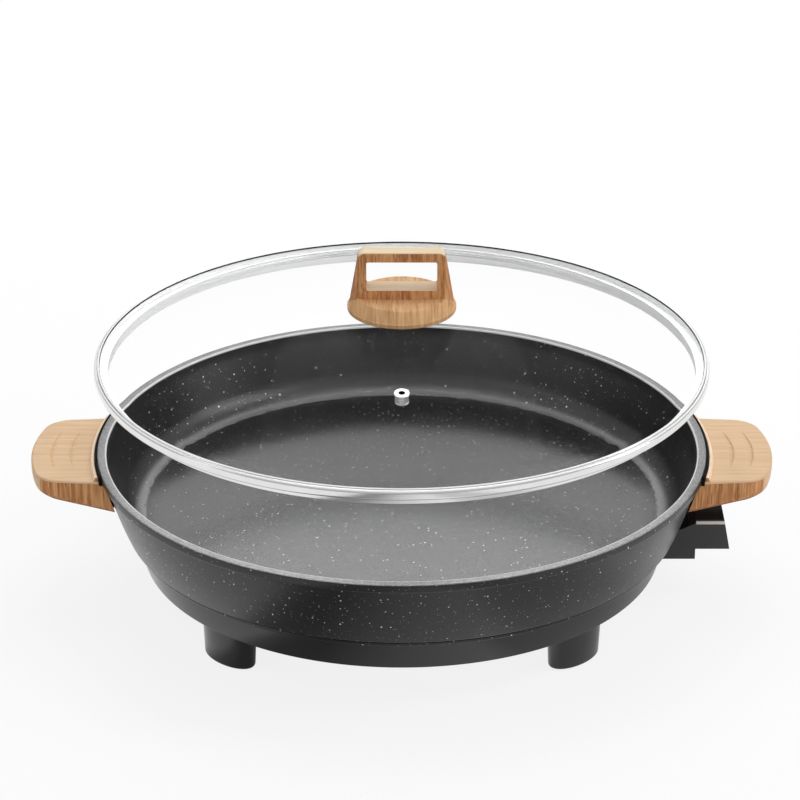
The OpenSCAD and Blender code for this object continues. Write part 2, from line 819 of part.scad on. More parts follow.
// Place on top of the glass at the steam vent, with +Z square to it
module at_vent() {
  translate([0, 0, dome_z]) rotate([vent_tilt, 0, 0]) translate([0, 0, dome_r]) children();
}

module lid_glass() {
  color("#dfe8ea", 0.35)
    difference() {
      rotate_extrude($fn = 180) {
        dome_section(knob_hole_r, dome_edge_r, -glass_t, 0);
        translate([dome_edge_r - weld, glass_z])
          square([glass_r - dome_edge_r + weld, glass_top_z - glass_z]);
      }
      at_vent() translate([0, 0, -3 * glass_t]) cylinder(r = vent_r + fit, h = 6 * glass_t);
    }
}

module lid_rim() {
  r = 1.2;
  top = seat_z + bead_h;
  color("#d4d6d8")
    rotate_extrude($fn = 180)
      polygon(concat(
        [[skirt_r - ring_t, seat_z - skirt_h], [skirt_r, seat_z - skirt_h], [skirt_r, seat_z]],
        arc([bead_r - r, seat_z + r], r, -90, 0, 4),
        arc([bead_r - r, top - r], r, 0, 90, 4),
        [[bead_r - lip_cover, top], [bead_r - lip_cover, top - ring_t]],
        arc([bead_r - r, top - r], r - ring_t, 90, 0, 4),
        arc([bead_r - r, seat_z + r], r - ring_t, 0, -90, 4),
        [[skirt_r - ring_t, seat_z + ring_t]]));
}

module vent_eyelet() {
  cap_t = 1.2;
  cap_r = vent_r + 0.5;
  tail_r = vent_r + 0.5;
  tail_t = 0.9;
  under = -glass_t - 2 * fit;
  edge = 0.4;
  color("#dadcde")
    at_vent()
      rotate_extrude()
        polygon([
          [steam_d / 2, under - tail_t], [tail_r, under - tail_t], [tail_r, under], [vent_r, under],
          [vent_r, fit], [cap_r, fit], [cap_r, cap_t - edge], [cap_r - edge, cap_t],
          [steam_d / 2 + edge, cap_t], [steam_d / 2, cap_t - edge]]);
}

// Drop of a rounded edge of radius r, at distance d past the start of its rounding
function rounding(d, r) = r - sqrt(max(0, r * r - pow(max(0, d), 2)));

// Section of the knob's bridge at height z over the knob's underside
function bridge_ring(z) =
  let (rise = (z - knob_band_h) / (knob_h - knob_band_h),
       splay = max(0, (knob_foot_h - z) / (knob_foot_h - knob_band_h)),
       trim = rounding(z - knob_h + bridge_r, bridge_r),
       side = (bridge_foot_w + (bridge_top_w - bridge_foot_w) * rise) / 2 - trim,
       front = side + bridge_flare / 2 * splay,
       ridge = side + bridge_flare * (1 - rise),
       half_t = (bridge_foot_t + (bridge_t - bridge_foot_t) * rise) / 2,
       y = half_t - rounding(z - knob_h + bridge_edge_r, bridge_edge_r),
       blunt = 0.8)
  [for (p = [[front, -y], [ridge, -blunt], [ridge, blunt], [front, y],
             [-front, y], [-ridge, blunt], [-ridge, -blunt], [-front, -y]])
    [p[0], p[1], z]];

module finger_window() {
  half = window_w / 2 - window_r;
  low = knob_h - bar_h - window_h + window_r;
  high = knob_h - bar_h - window_r;
  translate([0, bridge_foot_t, 0])
    rotate([90, 0, 0])
      linear_extrude(2 * bridge_foot_t)
        polygon(concat(
          arc([half, high], window_r, 0, 90, 3), arc([-half, high], window_r, 90, 180, 3),
          arc([-half, low], window_r, 180, 270, 3), arc([half, low], window_r, 270, 360, 3)));
}

module lid_knob() {
  crown = 0.3;
  foot_edge = 0.8;
  band_edge = 0.4;
  foot_top_r = knob_r - knob_shoulder;
  top_r = max(bridge_r, bridge_edge_r);
  heights = concat(
    [0.7 * knob_band_h, knob_foot_h], [for (t = [0 : 15 : 90]) knob_h - top_r + top_r * sin(t)]);
  color("#cf9f6b")
    translate([0, 0, knob_z])
      difference() {
        union() {
          rotate_extrude($fn = 120)
            polygon(concat(
              [[0, 0]], arc([knob_r - foot_edge, foot_edge], foot_edge, -90, 0, 4),
              [[knob_r, knob_band_h - band_edge], [knob_r - band_edge, knob_band_h]],
              [[foot_top_r, knob_foot_h], [0, knob_foot_h + crown]]));
          loft([for (z = heights) bridge_ring(z)]);
        }
        finger_window();
        cylinder(r = screw_r + fit, h = knob_foot_h + 1.3 * screw_bite);
      }
}

// Height of the dome at radius r, over (or under) its top by off
function dome_height(r, off) = dome_z + sqrt(pow(dome_r + off, 2) - r * r);

// Ring between radii r0 and r1, flat at height z and fitted to the dome on its other side
module dome_ring(r0, r1, z, off) {
  steps = 8;
  rotate_extrude()
    polygon(concat(
      [[r1, z], [r0, z]],
      [for (i = [0 : steps]) let (r = r0 + (r1 - r0) * i / steps) [r, dome_height(r, off)]]));
}

module knob_gasket() {
  hole_r = 5;
  color("#202021") dome_ring(hole_r, gasket_r, knob_z, fit);
}

module lid_seal() {
  seal_inset = 0.5;
  color("#f0f0ee") dome_ring(screw_r + fit, washer_r - seal_inset, seal_z, -glass_t - fit);
}

module lid_washer() {
  color("#cfd1d3")
    translate([0, 0, seal_z - washer_t])
      difference() {
        cylinder(r = washer_r, h = washer_t);
        translate([0, 0, -weld]) cylinder(r = screw_r + fit, h = washer_t + 2 * weld);
      }
}

module lid_screw() {
  start = seal_z - washer_t;
  color("#b5b8bc")
    translate([0, 0, start]) screw(screw_r, head_r, knob_z + knob_foot_h + screw_bite - start);
}

pan_body();
heating_element();
heater_seals();
terminal_pins();
terminal_block();
probe_sleeve();
base_ring();
reflector_plate();
foot(foot_angles[2]);  // foot_front_left
foot(foot_angles[3]);  // foot_front_right
foot(foot_angles[1]);  // foot_rear_left
foot(foot_angles[0]);  // foot_rear_right
foot_pad(foot_angles[2]);  // foot_pad_front_left
foot_pad(foot_angles[3]);  // foot_pad_front_right
foot_pad(foot_angles[1]);  // foot_pad_rear_left
foot_pad(foot_angles[0]);  // foot_pad_rear_right
foot_screws();
handle_left();
handle_right();
handle_spacer_left();
handle_spacer_right();
handle_screws();
inlet_shroud();
inlet_screws();
lid_glass();
lid_rim();
vent_eyelet();
lid_knob();
knob_gasket();
lid_seal();
lid_washer();
lid_screw();
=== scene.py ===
import math

import bpy
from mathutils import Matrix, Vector


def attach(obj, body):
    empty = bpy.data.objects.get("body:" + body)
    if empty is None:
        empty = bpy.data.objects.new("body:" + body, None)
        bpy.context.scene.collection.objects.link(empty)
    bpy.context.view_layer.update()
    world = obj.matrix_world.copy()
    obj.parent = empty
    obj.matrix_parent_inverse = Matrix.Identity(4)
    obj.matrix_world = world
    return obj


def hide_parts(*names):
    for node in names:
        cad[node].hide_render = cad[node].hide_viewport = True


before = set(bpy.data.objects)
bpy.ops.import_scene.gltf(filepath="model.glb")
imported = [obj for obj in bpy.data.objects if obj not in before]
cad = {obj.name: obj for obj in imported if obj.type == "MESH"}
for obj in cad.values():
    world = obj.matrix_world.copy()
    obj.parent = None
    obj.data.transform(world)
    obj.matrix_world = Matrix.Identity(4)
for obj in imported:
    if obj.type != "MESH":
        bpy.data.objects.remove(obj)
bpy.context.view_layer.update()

# The pan is one aluminium casting, turned on its rim and sprayed inside and out with a dark
# non-stick coat that holds pale mineral specks. Its lip carries the lid, and its underside
# takes the heater, the base and the grips.
MM = 0.001
STEPS = 256


def arc(c, r, a0, a1, n=6):
    """Points of an arc about c in the (radius, height) plane, in millimetres and degrees."""
    turn = [math.radians(a0 + (a1 - a0) * i / n) for i in range(n + 1)]
    return [(c[0] + r * math.cos(a), c[1] + r * math.sin(a)) for a in turn]


def take(piece):
    """Makes a piece the only one selected, and the active one."""
    bpy.ops.object.select_all(action="DESELECT")
    piece.select_set(True)
    bpy.context.view_layer.objects.active = piece


def bare_edit(piece):
    """Opens a piece for editing with nothing selected in it."""
    if bpy.context.mode != "OBJECT":
        bpy.ops.object.mode_set(mode="OBJECT")
    take(piece)
    bpy.ops.object.mode_set(mode="EDIT")
    bpy.ops.mesh.select_all(action="DESELECT")


def fix_place(piece):
    """Writes the place, turn and scale of the active piece into its mesh."""
    bpy.ops.object.transform_apply(location=True, rotation=True, scale=True)
    return piece


def settle(piece, angle=35):
    """Closes the edit: seams merged, faces outwards, soft shading up to an angle, place in the mesh."""
    bpy.ops.object.mode_set(mode="EDIT")
    bpy.ops.mesh.select_all(action="SELECT")
    bpy.ops.mesh.remove_doubles(threshold=1e-6)
    bpy.ops.mesh.normals_make_consistent(inside=False)
    bpy.ops.object.mode_set(mode="OBJECT")
    fix_place(piece)
    bpy.ops.object.shade_smooth_by_angle(angle=math.radians(angle))
    return piece


def turned(name, line, steps=STEPS, floor=False, top=False, loop=False):
    """A turned piece: a circle drawn up ring by ring along a line of (radius, height) in mm."""
    bpy.ops.object.select_all(action="DESELECT")
    (r, z) = line[0]
    fill = "NGON" if floor else "NOTHING"
    start = (0, 0, z * MM)
    bpy.ops.mesh.primitive_circle_add(vertices=steps, radius=r * MM, fill_type=fill, location=start)
    piece = bpy.context.object
    piece.name = piece.data.name = name
    fix_place(piece)
    bpy.ops.object.mode_set(mode="EDIT")
    bpy.ops.mesh.select_all(action="SELECT")
    for (r1, z1) in line[1:] + (line[:1] if loop else []):
        bpy.ops.mesh.extrude_edges_move(TRANSFORM_OT_translate={"value": (0, 0, (z1 - z) * MM)})
        bpy.ops.transform.resize(value=(r1 / r, r1 / r, 1), center_override=(0, 0, z1 * MM))
        (r, z) = (r1, z1)
    if top:
        bpy.ops.mesh.edge_face_add()
    bpy.ops.object.mode_set(mode="OBJECT")
    return settle(piece)


pan_z, rim_z, floor_z = 40.8, 80.5, 45.8
rim_r, mouth_r, wall_r, corner_r = 160.0, 155.2, 157.3, 146.3
lip_z = 76.0
lean = math.degrees(math.atan((wall_r - corner_r) / (lip_z - pan_z)))


def wall_line(a, b, bow, n=14):
    """Points from a to b with a shallow outward bow."""
    (dx, dz) = (b[0] - a[0], b[1] - a[1])
    run = math.hypot(dx, dz)
    steps = [(i / n, 4 * bow * (i / n) * (1 - i / n)) for i in range(n + 1)]
    return [(a[0] + dx * way + dz / run * rise, a[1] + dz * way - dx / run * rise) for (way, rise) in steps]


foot_edge = arc((corner_r - 1.4 * math.tan(math.radians(45 - lean / 2)), pan_z + 1.7), 1.4, -90, -lean, 5)
under_bead = [(139.9, pan_z), (139.9, 38.5)] + arc((143.7, 38.9), 0.7, -90, 0, 4)
under_bead += [(144.4, 40.0), (143.6, 40.5)]
inner_mid = (135.13, floor_z + 13.5)
inner_edge = arc(inner_mid, 13.5, -lean, -90, 12)
pan_line = (
    [(60, pan_z), (110, pan_z)] + under_bead + foot_edge
    + wall_line(foot_edge[-1], (wall_r, lip_z - 0.5), 0.8)[1:]
    + [(wall_r + 0.15, lip_z - 0.15), (wall_r + 0.5, lip_z)]
    + arc((rim_r - 0.9, lip_z + 0.9), 0.9, -90, 0, 5) + arc((rim_r - 0.7, rim_z - 0.7), 0.7, 0, 90, 6)
    + arc((mouth_r + 0.6, rim_z - 0.6), 0.6, 90, 180, 5)
    + wall_line((154.5, lip_z), inner_edge[0], 0.0, 8) + inner_edge[1:]
    + [(120, floor_z), (90, floor_z), (60, floor_z), (30, floor_z)]
)
pan = turned("pan", pan_line, floor=True, top=True)


def new_material(name):
    """A fresh node material with only its output and a Principled surface."""
    made = bpy.data.materials.new(name)
    made.use_nodes = True
    return made, made.node_tree, made.node_tree.nodes["Principled BSDF"]


def add(tree, kind, sets=None, **links):
    """One node: settings by name, then inputs by name, each a value or another node's socket."""
    made = tree.nodes.new(kind)
    for (key, value) in (sets or {}).items():
        setattr(made, key, value)
    for (key, value) in links.items():
        number = key.startswith("in")
        socket = made.inputs[int(key[2:]) if number else key.replace("_", " ")]
        if isinstance(value, bpy.types.NodeSocket):
            tree.links.new(value, socket)
        else:
            socket.default_value = value
    return made


def sums(tree, op, a, b=0.0, c=0.0):
    """One step of arithmetic between sockets or numbers."""
    made = add(tree, "ShaderNodeMath", {"operation": op}, in0=a, in1=b, in2=c)
    return made.outputs[0]


def ramp(tree, value, low, high, to_low=0.0, to_high=1.0):
    """A value brought smoothly from one span to another."""
    made = add(tree, "ShaderNodeMapRange", {"interpolation_type": "SMOOTHSTEP"}, Value=value)
    for (key, number) in (("From Min", low), ("From Max", high), ("To Min", to_low), ("To Max", to_high)):
        made.inputs[key].default_value = number
    return made.outputs[0]


def tint(tree, mask, low, high):
    """One of two colours, or a step between them, by a mask."""
    made = add(tree, "ShaderNodeMix", {"data_type": "RGBA"})
    for (socket, value) in ((made.inputs[0], mask), (made.inputs[6], low), (made.inputs[7], high)):
        if isinstance(value, bpy.types.NodeSocket):
            tree.links.new(value, socket)
        else:
            socket.default_value = value
    return made.outputs[2]


def place(tree):
    """The surface's own place on the object."""
    return add(tree, "ShaderNodeTexCoord").outputs["Object"]


def stretched(tree, where, scale):
    """A place drawn out by a factor on each axis."""
    return add(tree, "ShaderNodeMapping", Vector=where, Scale=scale).outputs[0]


def noise(tree, where, size, detail=2.0, rough=0.5):
    """Soft noise with features of about this size in millimetres."""
    scale = 1 / (size * MM)
    made = add(tree, "ShaderNodeTexNoise", Vector=where, Scale=scale, Detail=detail, Roughness=rough)
    return made.outputs[0]


def dress(piece, material):
    """Gives a piece or a solid one material all over."""
    piece.data.materials.clear()
    piece.data.materials.append(material)


def grey(v):
    """A neutral colour."""
    return (v, v, v, 1)


def effect_group(name, takes, gives):
    """A shader group for a shared effect, with its inputs by name and kind and its outputs by name."""
    group = bpy.data.node_groups.new(name, "ShaderNodeTree")
    for (socket, kind) in takes:
        group.interface.new_socket(socket, in_out="INPUT", socket_type="NodeSocket" + kind)
    for socket in gives:
        group.interface.new_socket(socket, in_out="OUTPUT", socket_type="NodeSocketFloat")
    return group, group.nodes.new("NodeGroupInput"), group.nodes.new("NodeGroupOutput")


def speck_group():
    """Mineral specks in a sprayed coat: a sparse mask of spots and the sandy height of the coat."""
    takes = (("Place", "Vector"), ("Pitch", "Float"), ("Share", "Float"))
    (group, start, end) = effect_group("coat specks", takes, ("Spots", "Sand"))
    (where, pitch) = (start.outputs[0], start.outputs[1])
    cells = add(group, "ShaderNodeTexVoronoi", {"feature": "F1"}, Vector=where, Scale=pitch)
    pick = add(group, "ShaderNodeSeparateColor", in0=cells.outputs["Color"])
    chosen = sums(group, "LESS_THAN", pick.outputs[0], start.outputs[2])
    size = sums(group, "MULTIPLY_ADD", pick.outputs[1], 0.13, 0.07)
    spot = ramp(group, sums(group, "SUBTRACT", size, cells.outputs["Distance"]), 0.0, 0.05)
    pale = sums(group, "MULTIPLY_ADD", pick.outputs[2], 0.75, 0.25)
    group.links.new(sums(group, "MULTIPLY", sums(group, "MULTIPLY", spot, chosen), pale), end.inputs[0])
    group.links.new(noise(group, where, 0.9, 4.0, 0.6), end.inputs[1])
    return group


coat_specks = speck_group()
flat_r, upright_r = 126 * MM, 142 * MM
(coat, tree, surface) = new_material("speckled non-stick coat")
where = place(tree)
apart = add(tree, "ShaderNodeSeparateXYZ", in0=where)
(square_x, square_y) = (sums(tree, "POWER", apart.outputs[i], 2.0) for i in (0, 1))
radius = sums(tree, "SQRT", sums(tree, "ADD", square_x, square_y))
height = apart.outputs[2]
on_rim = sums(tree, "MULTIPLY", ramp(tree, height, (rim_z - 0.5) * MM, (rim_z - 0.15) * MM),
              ramp(tree, radius, (mouth_r - 0.1) * MM, (mouth_r + 0.3) * MM))
wide = add(tree, "ShaderNodeGroup", {"node_tree": coat_specks}, Place=where, Pitch=360.0, Share=0.6)
close = add(tree, "ShaderNodeGroup", {"node_tree": coat_specks}, Place=where, Pitch=640.0, Share=0.75)
spots = sums(tree, "MAXIMUM", wide.outputs[0], sums(tree, "MULTIPLY", close.outputs[0], 0.5))
cloud = noise(tree, where, 9.0, 3.0)
body = tint(tree, ramp(tree, wide.outputs[1], 0.38, 0.62), grey(0.001), grey(0.006))
sandy = tint(tree, ramp(tree, wide.outputs[1], 0.35, 0.7), grey(0.13), grey(0.28))
# A thin pale line along the mouth's inner edge is a painted highlight.
painted_mouth_highlight = sums(tree, "MULTIPLY", ramp(tree, height, (rim_z - 1.3) * MM, (rim_z - 0.8) * MM),
               ramp(tree, radius, (mouth_r + 0.5) * MM, (mouth_r + 0.9) * MM, 1.0, 0.0))
painted_mouth_highlight = sums(tree, "MULTIPLY", painted_mouth_highlight, ramp(tree, radius, (mouth_r - 0.3) * MM, mouth_r * MM))
# A lighter band round the corner between floor and wall is a painted highlight.
painted_fillet_highlight = sums(tree, "MULTIPLY", ramp(tree, radius, 134.6 * MM, 136.2 * MM),
               ramp(tree, radius, 138.5 * MM, 142.5 * MM, 1.0, 0.0))
painted_fillet_highlight = sums(tree, "MULTIPLY", painted_fillet_highlight, ramp(tree, height, (floor_z - 0.8) * MM, (floor_z - 0.4) * MM))
body = tint(tree, painted_fillet_highlight, body, grey(0.1))
mineral = tint(tree, ramp(tree, radius, flat_r, upright_r), grey(0.32), grey(0.72))
skin = tint(tree, on_rim, tint(tree, spots, body, mineral), sandy)
tree.links.new(tint(tree, painted_mouth_highlight, skin, grey(0.6)), surface.inputs["Base Color"])
gloss = ramp(tree, radius, flat_r, upright_r, 0.19, 0.32)
finish = sums(tree, "ADD", ramp(tree, cloud, 0.2, 0.8, -0.02, 0.02), gloss)
tree.links.new(finish, surface.inputs["Roughness"])
surface.inputs["Specular IOR Level"].default_value = 0.55
lumps = sums(tree, "MULTIPLY", wide.outputs[1], ramp(tree, radius, flat_r, upright_r, 0.8, 1.8))
lumps = sums(tree, "ADD", lumps, sums(tree, "MULTIPLY", spots, 0.25))
bump = add(tree, "ShaderNodeBump", Height=lumps, Strength=0.12, Distance=0.0004)
tree.links.new(bump.outputs[0], surface.inputs["Normal"])
dress(pan, coat)
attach(pan, "cooker")
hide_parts("pan_body")

# The heater is a steel tube pressed into the rib under the floor. Ceramic beads close its ends,
# and its plated pins pass a ceramic block into the inlet. The probe sleeve between them and the
# plate that throws the heat back up are bare aluminium.


def worn_group():
    """Handling marks on bare or plated metal: fine scratches one way and soft smudges."""
    (group, start, end) = effect_group("handling marks", (("Place", "Vector"),), ("Lines", "Smudge"))
    drawn = stretched(group, start.outputs[0], (1.0, 1.0, 14.0))
    group.links.new(noise(group, drawn, 3.0, 3.0, 0.6), end.inputs[0])
    group.links.new(noise(group, start.outputs[0], 14.0, 2.0), end.inputs[1])
    return group


handling = worn_group()


def metal(name, low, high, rough_low, rough_high):
    """A bare metal between two tones, with handling marks in its gloss."""
    (made, tree, face) = new_material(name)
    marks = add(tree, "ShaderNodeGroup", {"node_tree": handling}, Place=place(tree))
    tree.links.new(tint(tree, marks.outputs[1], low, high), face.inputs["Base Color"])
    tree.links.new(ramp(tree, marks.outputs[0], 0.3, 0.7, rough_low, rough_high), face.inputs["Roughness"])
    face.inputs["Metallic"].default_value = 1.0
    return made


heat_stain = ((0.2, 0.18, 0.16, 1), (0.32, 0.29, 0.26, 1))
dress(cad["heating_element"], metal("heat stained tube", *heat_stain, 0.35, 0.5))
dress(cad["terminal_pins"], metal("plated pins", grey(0.6), grey(0.72), 0.15, 0.25))
bare_aluminium = metal("bare aluminium", grey(0.6), grey(0.72), 0.28, 0.42)
for node in ("probe_sleeve", "reflector_plate"):
    dress(cad[node], bare_aluminium)
(ceramic, tree, surface) = new_material("unglazed ceramic")
pores = noise(tree, place(tree), 0.8, 4.0, 0.6)
tree.links.new(tint(tree, pores, (0.7, 0.66, 0.58, 1), (0.84, 0.81, 0.74, 1)), surface.inputs["Base Color"])
surface.inputs["Roughness"].default_value = 0.75
bump = add(tree, "ShaderNodeBump", Height=pores, Strength=0.2, Distance=0.0003)
tree.links.new(bump.outputs[0], surface.inputs["Normal"])
for node in ("heater_seals", "terminal_block"):
    dress(cad[node], ceramic)

# The base is a satin dark moulding under the pan. Its wall leans in a little towards the
# bottom, its floor is a flange that the feet stand under, and a gap on the right lets the inlet out.
base_z, base_top, base_r, base_top_r = 22.2, 39.6, 137.4, 139.5
draft = math.degrees(math.atan((base_top_r - base_r) / (base_top - base_z)))
base_line = (
    [(105.4, 25.2), (105.4, base_z), (125, base_z)]
    + arc((base_r - 0.7, base_z + 0.7), 0.7, -90, -draft)
    + arc((base_top_r - 0.7, base_top - 0.7), 0.7, -draft, 90, 5)
    + [(136.5, base_top), (136.5, pan_z - 0.02), (134, pan_z - 0.02), (134, 37.6)]
    + [(136.4, 35.6), (134.4, 25.2)]
)
base = turned("base", base_line, loop=True)


def cut(piece, tool, how="DIFFERENCE"):
    """Cuts, or joins, one piece with another and throws the tool away."""
    take(piece)
    work = piece.modifiers.new("cut", "BOOLEAN")
    work.operation = how
    work.solver = "EXACT"
    work.object = tool
    bpy.ops.object.modifier_apply(modifier=work.name)
    bpy.data.objects.remove(tool)
    return piece


def block(name, low, high):
    """A block between two corners in millimetres."""
    bpy.ops.object.select_all(action="DESELECT")
    mid = [(a + b) / 2 * MM for (a, b) in zip(low, high)]
    bpy.ops.mesh.primitive_cube_add(size=1, location=mid)
    piece = bpy.context.object
    piece.name = piece.data.name = name
    piece.scale = [(b - a) * MM for (a, b) in zip(low, high)]
    return fix_place(piece)


gap_x, gap_half, bead_gap_top = 125.1, 20.8, 40.5
cut(base, block("inlet gap", (gap_x, -gap_half, 0), (200, gap_half, 60)))
settle(base)
cut(pan, block("inlet gap", (gap_x, -gap_half, 30), (160, gap_half, bead_gap_top)))
settle(pan)


def moulded_group():
    """Skin of a plastic moulding: fine spark grain and slow changes of gloss."""
    takes = (("Place", "Vector"), ("Grain", "Float"))
    (group, start, end) = effect_group("moulded skin", takes, ("Height", "Drift"))
    fine = add(group, "ShaderNodeTexNoise", Vector=start.outputs[0], Scale=start.outputs[1], Detail=3.0)
    group.links.new(fine.outputs[0], end.inputs[0])
    group.links.new(noise(group, start.outputs[0], 22.0, 3.0), end.inputs[1])
    return group


moulded_skin = moulded_group()


def moulding(name, low, high, rough_low, rough_high, grain=2200.0, relief=0.08, shine=0.5):
    """A plastic moulding between two tones, with its skin's grain and its shine."""
    (made, tree, face) = new_material(name)
    look = add(tree, "ShaderNodeGroup", {"node_tree": moulded_skin}, Place=place(tree), Grain=grain)
    tree.links.new(tint(tree, look.outputs[1], low, high), face.inputs["Base Color"])
    tree.links.new(ramp(tree, look.outputs[1], 0.3, 0.7, rough_low, rough_high), face.inputs["Roughness"])
    face.inputs["Specular IOR Level"].default_value = shine
    bump = add(tree, "ShaderNodeBump", Height=look.outputs[0], Strength=relief, Distance=0.0003)
    tree.links.new(bump.outputs[0], face.inputs["Normal"])
    return made


base_plastic = moulding("satin base plastic", grey(0.004), grey(0.007), 0.16, 0.24, relief=0.03, shine=0.7)
dress(base, base_plastic)
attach(base, "cooker")
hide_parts("base_ring")

# Four oblong feet, glossy black mouldings, stand under the base's edge. Each is a little wider at
# its top, rounded at its bottom, and screwed through the base into the pan. A rubber pad is let
# into each one and carries it on the table.
foot_len, foot_wid, foot_mid = 33.0, 17.8, 124.2


def oblong_foot(name):
    """The rear right foot, drawn up from an oval, with a sunk floor for its pad."""
    (inset, z) = (2.6, 2.4)
    bpy.ops.object.select_all(action="DESELECT")
    bpy.ops.mesh.primitive_circle_add(vertices=96, radius=0.5, fill_type="NGON", location=(0, 0, z * MM))
    piece = bpy.context.object
    piece.name = piece.data.name = name
    piece.scale = ((foot_wid - 2 * inset) * MM, (foot_len - 2 * inset) * MM, 1)
    fix_place(piece)
    bpy.ops.object.mode_set(mode="EDIT")
    bpy.ops.mesh.select_all(action="SELECT")
    edge = arc((1.6, 2.0), 1.6, -90, -180, 6)
    for (inset1, z1) in [(2.6, 0.6), (2.5, 0.4)] + edge + [(-0.45, 12.0), (-0.9, base_z)]:
        bpy.ops.mesh.extrude_edges_move(TRANSFORM_OT_translate={"value": (0, 0, (z1 - z) * MM)})
        (wider, longer) = ((side - 2 * inset1) / (side - 2 * inset) for side in (foot_wid, foot_len))
        bpy.ops.transform.resize(value=(wider, longer, 1), center_override=(0, 0, z1 * MM))
        (inset, z) = (inset1, z1)
    bpy.ops.mesh.edge_face_add()
    bpy.ops.object.mode_set(mode="OBJECT")
    turn = math.pi / 4
    piece.rotation_euler = (0, 0, turn)
    piece.location = (foot_mid * MM * math.cos(turn), foot_mid * MM * math.sin(turn), 0)
    return settle(piece)


def copy_round(piece, name, turn):
    """A copy of a piece with a mesh of its own, turned about the pan's middle by some degrees."""
    take(piece)
    bpy.ops.object.duplicate()
    copy = bpy.context.object
    copy.name = copy.data.name = name
    copy.rotation_euler = (0, 0, math.radians(turn))
    return fix_place(copy)


black_gloss = moulding("glossy black plastic", grey(0.006), grey(0.009), 0.14, 0.22, 1500.0, 0.02, 0.7)
pad_rubber = moulding("pad rubber", grey(0.02), grey(0.03), 0.7, 0.8, 2600.0, 0.2)
first_foot = oblong_foot("oblong_foot_rear_right")
feet = [("rear_right", first_foot)]
for (corner, turn) in (("rear_left", 90), ("front_left", 180), ("front_right", 270)):
    feet.append((corner, copy_round(first_foot, "oblong_foot_" + corner, turn)))
for (corner, foot) in feet:
    dress(foot, black_gloss)
    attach(foot, "cooker")
    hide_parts("foot_" + corner)
    dress(cad["foot_pad_" + corner], pad_rubber)
zinc = metal("zinc plate", grey(0.5), grey(0.62), 0.25, 0.4)
for node in ("foot_screws", "handle_screws", "inlet_screws", "lid_screw", "lid_washer"):
    dress(cad[node], zinc)

# The grips are shaped from pale straight-grained wood. Each tapers in depth from the pan to its
# bowed end, has a raised ridge along the pan whose pale crest is a painted highlight, two shallow
# finger grooves on top, and is screwed from below to a lug on the casting.
grip_top, grip_tip, grip_root, grip_deep = 76.5, 195.0, 146.0, 19.0


def pick_edges(piece, test):
    """Opens a piece with those edges selected whose two ends, in millimetres, pass a test."""
    bare_edit(piece)
    bpy.ops.mesh.select_mode(type="EDGE")
    bpy.ops.object.mode_set(mode="OBJECT")
    ends = [v.co / MM for v in piece.data.vertices]
    for edge in piece.data.edges:
        (a, b) = (ends[i] for i in edge.vertices)
        edge.select = bool(test(a, b))
    bpy.ops.object.mode_set(mode="EDIT")


def round_over(piece, radius, steps, test):
    """Rounds the picked edges of a piece to a radius in millimetres."""
    pick_edges(piece, test)
    bpy.ops.mesh.bevel(offset=radius * MM, segments=steps, affect="EDGES", clamp_overlap=True)
    bpy.ops.object.mode_set(mode="OBJECT")


def pick_points(piece, test):
    """Opens a piece with those points selected that pass a test in millimetres."""
    bare_edit(piece)
    bpy.ops.mesh.select_mode(type="VERT")
    bpy.ops.object.mode_set(mode="OBJECT")
    for point in piece.data.vertices:
        point.select = bool(test(point.co / MM))
    bpy.ops.object.mode_set(mode="EDIT")


def finger_groove(x):
    """The path of a cutter with one steep and one long side, on an arc that runs out at both ends."""
    (sweep_r, half_len, depth, rise) = (65.0, 23.0, 0.95, 1.1)
    sweep = math.asin(half_len / sweep_r)
    bpy.ops.object.select_all(action="DESELECT")
    start = (x * MM, 0, grip_top * MM)
    bpy.ops.mesh.primitive_plane_add(size=2 * MM, rotation=(math.pi / 2, 0, 0), location=start)
    tool = fix_place(bpy.context.object)
    section = ((-1, -1, -1.6, 1.0), (1, -1, -0.75, 1 - depth), (1, 1, 0.2, 0.6), (-1, 1, -6.0, 0.6))
    for (side, level, dx, dz) in section:
        pick_points(tool, lambda v: abs(v.x - x - side) < 0.01 and abs(v.z - grip_top - level) < 0.01)
        bpy.ops.transform.translate(value=(dx * MM, 0, dz * MM))
    bpy.ops.mesh.select_all(action="SELECT")
    bpy.ops.mesh.delete(type="ONLY_FACE")
    bpy.ops.mesh.select_all(action="SELECT")
    steps = 24
    pivot = ((x - sweep_r) * MM, 0, grip_top * MM)
    for way in (1, -1):
        for i in range(steps):
            lift = rise * ((i + 1) ** 3 - i ** 3) / steps ** 3
            bpy.ops.mesh.extrude_edges_move(TRANSFORM_OT_translate={"value": (0, 0, lift * MM)})
            bpy.ops.transform.rotate(value=way * sweep / steps, orient_axis="Z", center_override=pivot)
        bpy.ops.mesh.edge_face_add()
        pick_edges(tool, lambda a, b: abs(a.y) < 0.01 and abs(b.y) < 0.01)
    bpy.ops.object.mode_set(mode="OBJECT")
    return settle(tool)


def even_light(piece):
    """Lets the broad faces of a cut piece keep their own shading next to small cuts."""
    take(piece)
    work = piece.modifiers.new("even light", "WEIGHTED_NORMAL")
    work.keep_sharp = True
    bpy.ops.object.modifier_apply(modifier=work.name)


def part_ring(name, line, half):
    """The right-hand stretch of a turned ring, half millimetres long to each side."""
    piece = turned(name, line, loop=True)
    for (reach, away) in ((half, (0, 1, 0)), (half, (0, -1, 0)), (0, (-1, 0, 0))):
        spot = Vector(away) * reach * MM
        bare_edit(piece)
        bpy.ops.mesh.select_all(action="SELECT")
        bpy.ops.mesh.bisect(plane_co=spot, plane_no=away, use_fill=True, clear_outer=True)
    bpy.ops.object.mode_set(mode="OBJECT")
    return settle(piece)


